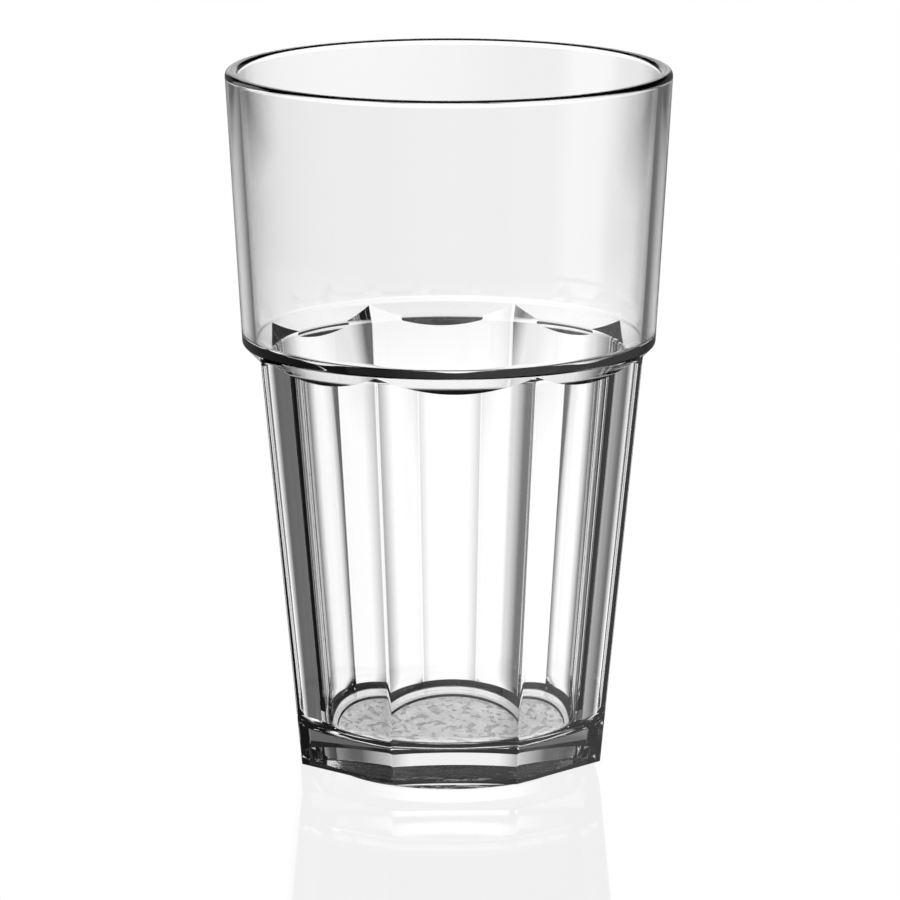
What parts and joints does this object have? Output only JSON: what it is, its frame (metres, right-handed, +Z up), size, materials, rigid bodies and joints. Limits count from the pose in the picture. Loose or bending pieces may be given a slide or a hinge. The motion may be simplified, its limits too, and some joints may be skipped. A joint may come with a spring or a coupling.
{
  "type": "plastic tumbler cup",
  "caption": "Clear plastic stacking tumbler with a round collar over a shoulder, an eight-sided tapering body and a thick floor.",
  "frame": {"origin": "centre of the foot, on the surface that the cup stands on", "axes": "+Z up through the mouth, with one flat side of the body facing -Y"},
  "size_m": [0.0798, 0.0798, 0.127],
  "materials": {
    "clear_plastic": "clear, polished as it leaves the mould"
  },
  "bodies": {
    "root": {"tumbler": "clear_plastic"}
  },
  "joints": []
}
